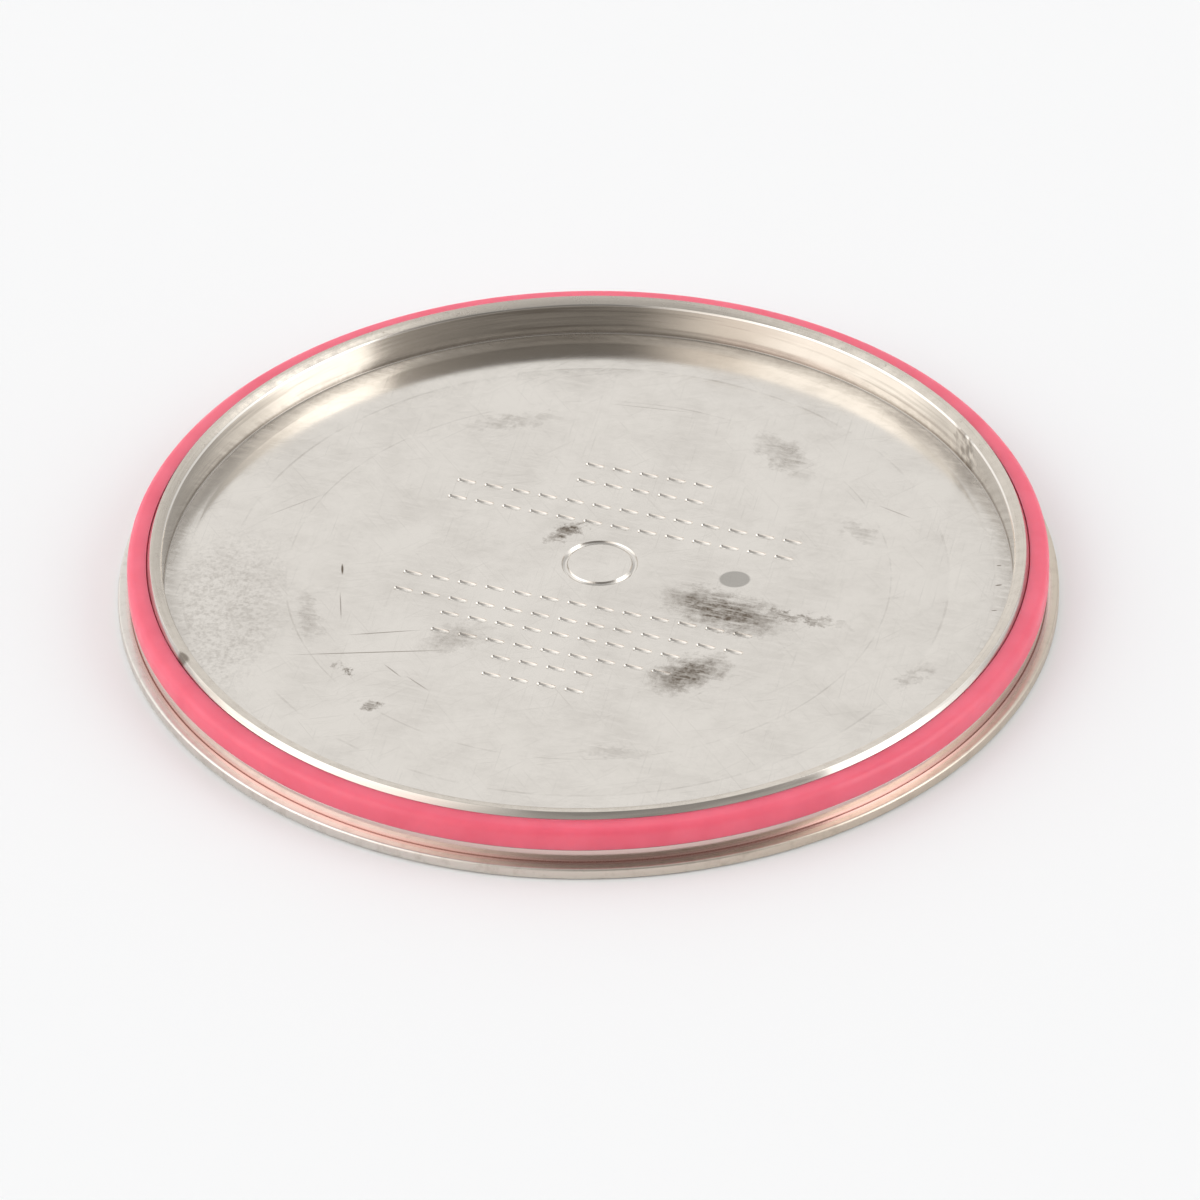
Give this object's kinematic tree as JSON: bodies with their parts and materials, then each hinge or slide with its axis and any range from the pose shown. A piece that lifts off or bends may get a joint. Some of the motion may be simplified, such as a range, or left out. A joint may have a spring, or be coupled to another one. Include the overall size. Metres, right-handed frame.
{
  "type": "watch case back",
  "caption": "Press-in steel watch case back: a shallow round tray with a raised collar, a shoulder and a thin lip, and a loose plastic gasket ring round the collar.",
  "frame": {"origin": "centre of the flat outer face, on the surface that the part lies on", "axes": "+Z along the turning axis, up through the collar and away from the outer face; +X and +Y lie in the outer face, and nothing marks them because the part is round"},
  "size_m": [0.03, 0.03, 0.0018],
  "materials": {
    "steel": "turned floor and brushed land, polished collar, cone and shoulder",
    "gasket": "moulded satin plastic, pink"
  },
  "bodies": {
    "back": {"case_back": "steel"},
    "seal": {"gasket": "gasket"}
  },
  "joints": [
    {"name": "gasket_lift", "type": "slide", "parent": "back", "child": "seal", "axis": [0, 0, 1], "range_m": [0, 0.004]}
  ]
}
